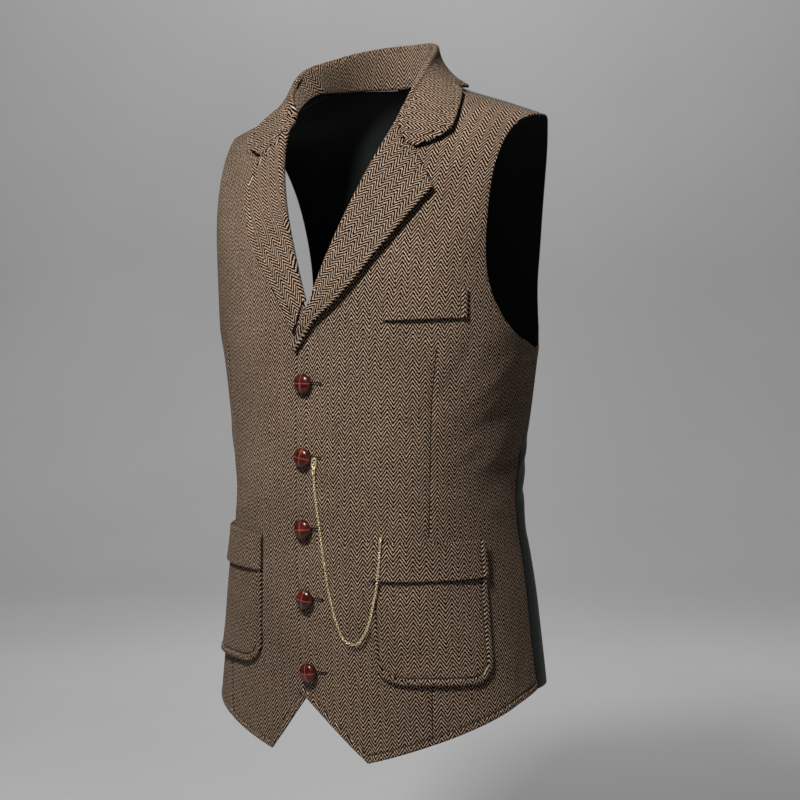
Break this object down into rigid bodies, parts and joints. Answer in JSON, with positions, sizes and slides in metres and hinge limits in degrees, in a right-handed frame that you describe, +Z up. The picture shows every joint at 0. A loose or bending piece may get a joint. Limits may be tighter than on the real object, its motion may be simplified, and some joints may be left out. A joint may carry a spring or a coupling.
{
  "type": "suit waistcoat",
  "caption": "Tweed waistcoat with notched lapels, buttoned front, welted chest pocket, patch hip pockets, satin back and a watch chain; worn and hollow.",
  "frame": {"origin": "on the garment's middle plane between the two shoulder seams, at the height where they carry it on the wearer", "axes": "+Z up, the front faces -Y, the wearer's left is at +X"},
  "size_m": [0.3716, 0.2765, 0.7272],
  "materials": {
    "tweed": "brown wool herringbone tweed",
    "lapel_tweed": "brown wool herringbone tweed, wales along the lapel",
    "satin": "dark green-black satin lining cloth",
    "leather": "glossy dark red-brown woven leather",
    "gilt": "polished pale gilt"
  },
  "bodies": {
    "root": {"front_left": "tweed", "back_left": "satin", "lapel_left": "lapel_tweed", "pocket_left": "tweed", "pocket_top_left": "tweed", "front_right": "tweed", "back_right": "satin", "lapel_right": "lapel_tweed", "pocket_right": "tweed", "pocket_top_right": "tweed", "collar": "lapel_tweed", "chest_welt": "tweed", "button_1": "leather", "button_2": "leather", "button_3": "leather", "button_4": "leather", "button_5": "leather", "watch_chain": "gilt"}
  },
  "joints": []
}
